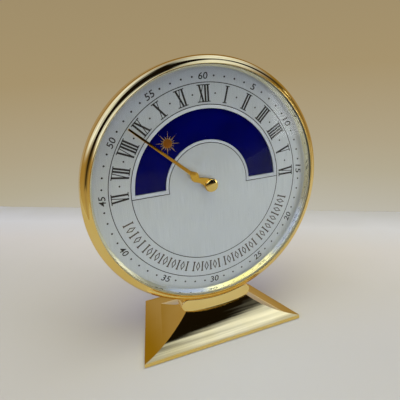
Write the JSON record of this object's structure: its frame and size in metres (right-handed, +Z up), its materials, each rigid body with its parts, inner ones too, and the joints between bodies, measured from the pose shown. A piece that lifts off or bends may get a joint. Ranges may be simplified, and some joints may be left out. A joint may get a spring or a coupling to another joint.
{
  "type": "desk clock",
  "caption": "Round polished brass desk clock on a flared foot, with a single minute hand and a sun disc that shows the hour through a half-ring window; the clockwork inside is complete.",
  "frame": {"origin": "centre of the clock's footprint, on the surface that it stands on", "axes": "+Z up; the dial faces -Y and is upright; +X is to the right for someone who reads the dial"},
  "size_m": [0.13, 0.054, 0.151],
  "materials": {
    "gilt": "mirror polished, gold plated",
    "gilt_satin": "satin, gold plated",
    "gold_hand": "polished",
    "crystal": "clear",
    "gasket": "matte",
    "silvered_dial": "satin silvered",
    "navy": "satin lacquer",
    "felt": "felt",
    "steel": "polished",
    "movement_brass": "satin",
    "spring_steel": "blued",
    "ruby": "polished"
  },
  "bodies": {
    "clock": {"bezel": "gilt", "crystal": "crystal", "crystal_gasket": "gasket", "reflector_ring": "gilt", "dial_plate": "silvered_dial", "case_ring": "gilt", "movement_can": "gilt_satin", "pan_screws": "steel", "back_cover": "gilt_satin", "cover_screws": "steel", "foot_body": "gilt", "neck_block": "gilt", "clamp_screws": "steel", "base_plate": "steel", "base_screws": "steel", "felt_pad": "felt", "front_plate": "movement_brass", "back_plate": "movement_brass", "pillars": "movement_brass", "pillar_screws": "steel", "movement_screws": "steel", "minute_stud": "steel", "balance_cap": "movement_brass", "pallet_bridge": "movement_brass", "click_screw": "steel", "click_spring": "spring_steel"},
    "hand": {"minute_hand": "gold_hand", "hand_nut": "gold_hand", "cannon_pinion": "steel"},
    "minute_work": {"minute_wheel": "movement_brass", "minute_pinion": "steel"},
    "disc": {"day_wheel": "movement_brass", "sun_disc": "navy", "sun_emblem": "gold_hand", "moon_emblem": "gold_hand"},
    "setting": {"setting_arbor": "steel", "setting_knob": "gilt_satin"},
    "going_barrel": {"barrel": "movement_brass", "barrel_lid": "movement_brass", "mainspring": "spring_steel"},
    "winding": {"barrel_arbor": "steel", "ratchet_wheel": "steel", "winding_key": "gilt_satin"},
    "click": {"click": "steel"},
    "second_arbor": {"second_wheel": "movement_brass", "second_pinion": "steel"},
    "centre_arbor": {"centre_wheel": "movement_brass", "centre_arbor": "steel"},
    "third_arbor": {"third_wheel": "movement_brass", "third_pinion": "steel"},
    "fourth_arbor": {"fourth_wheel": "movement_brass", "fourth_pinion": "steel"},
    "escape_arbor": {"escape_wheel": "movement_brass", "escape_pinion": "steel"},
    "lever": {"pallet_lever": "movement_brass", "pallet_stones": "ruby"},
    "balance": {"balance_wheel": "movement_brass", "balance_staff": "steel", "hairspring": "spring_steel"},
    "regulator": {"regulator_lever": "steel"}
  },
  "joints": [
    {"name": "hand_turn", "type": "hinge", "parent": "clock", "child": "hand", "pos_m": [0, 0.00225, 0.086], "axis": [0, 1, 0], "continuous": true},
    {"name": "minute_wheel_turn", "type": "hinge", "parent": "clock", "child": "minute_work", "pos_m": [-0.00987, 0.00225, 0.08241], "axis": [0, 1, 0], "continuous": true},
    {"name": "sun_disc_turn", "type": "hinge", "parent": "clock", "child": "disc", "pos_m": [0, 0.00225, 0.086], "axis": [0, 1, 0], "continuous": true},
    {"name": "setting_turn", "type": "hinge", "parent": "clock", "child": "setting", "pos_m": [-0.01973, 0.00225, 0.07882], "axis": [0, 1, 0], "continuous": true},
    {"name": "fourth_turn", "type": "hinge", "parent": "clock", "child": "fourth_arbor", "pos_m": [-0.00101, 0.00225, 0.09903], "axis": [0, 1, 0], "continuous": true},
    {"name": "escape_turn", "type": "hinge", "parent": "clock", "child": "escape_arbor", "pos_m": [0.00516, 0.00225, 0.10218], "axis": [0, 1, 0], "continuous": true},
    {"name": "third_turn", "type": "hinge", "parent": "clock", "child": "third_arbor", "pos_m": [-0.007, 0.00225, 0.093], "axis": [0, 1, 0], "continuous": true},
    {"name": "centre_turn", "type": "hinge", "parent": "clock", "child": "centre_arbor", "pos_m": [0, 0.00225, 0.086], "axis": [0, 1, 0], "continuous": true},
    {"name": "second_turn", "type": "hinge", "parent": "clock", "child": "second_arbor", "pos_m": [0.01067, 0.00225, 0.0812], "axis": [0, 1, 0], "continuous": true},
    {"name": "barrel_turn", "type": "hinge", "parent": "clock", "child": "going_barrel", "pos_m": [0, 0.00225, 0.07049], "axis": [0, 1, 0], "continuous": true},
    {"name": "key_turn", "type": "hinge", "parent": "clock", "child": "winding", "pos_m": [0, 0.00225, 0.07049], "axis": [0, 1, 0], "range_deg": [0, 1800]},
    {"name": "click_swing", "type": "hinge", "parent": "clock", "child": "click", "pos_m": [0.00893, 0.00225, 0.07374], "axis": [0, 1, 0], "range_deg": [-4, 5], "stiffness_Nm_per_rad": 0.002},
    {"name": "lever_swing", "type": "hinge", "parent": "clock", "child": "lever", "pos_m": [0.0098, 0.00225, 0.09983], "axis": [0, 1, 0], "range_deg": [-3, 3]},
    {"name": "balance_swing", "type": "hinge", "parent": "clock", "child": "balance", "pos_m": [0.01445, 0.00225, 0.09749], "axis": [0, 1, 0], "range_deg": [-135, 135], "stiffness_Nm_per_rad": 0.0000056},
    {"name": "regulator_swing", "type": "hinge", "parent": "clock", "child": "regulator", "pos_m": [0.01445, 0.00225, 0.09749], "axis": [0, 1, 0], "range_deg": [-20, 20]}
  ],
  "couplings": [
    {"joint": "minute_wheel_turn", "follows": "hand_turn", "ratio": -0.25},
    {"joint": "sun_disc_turn", "follows": "hand_turn", "ratio": 0.041667},
    {"joint": "setting_turn", "follows": "hand_turn", "ratio": 1},
    {"joint": "escape_turn", "follows": "fourth_turn", "ratio": -10},
    {"joint": "third_turn", "follows": "fourth_turn", "ratio": -0.13333},
    {"joint": "centre_turn", "follows": "fourth_turn", "ratio": 0.016667},
    {"joint": "second_turn", "follows": "fourth_turn", "ratio": -0.0020833},
    {"joint": "barrel_turn", "follows": "fourth_turn", "ratio": 0.00034722}
  ]
}
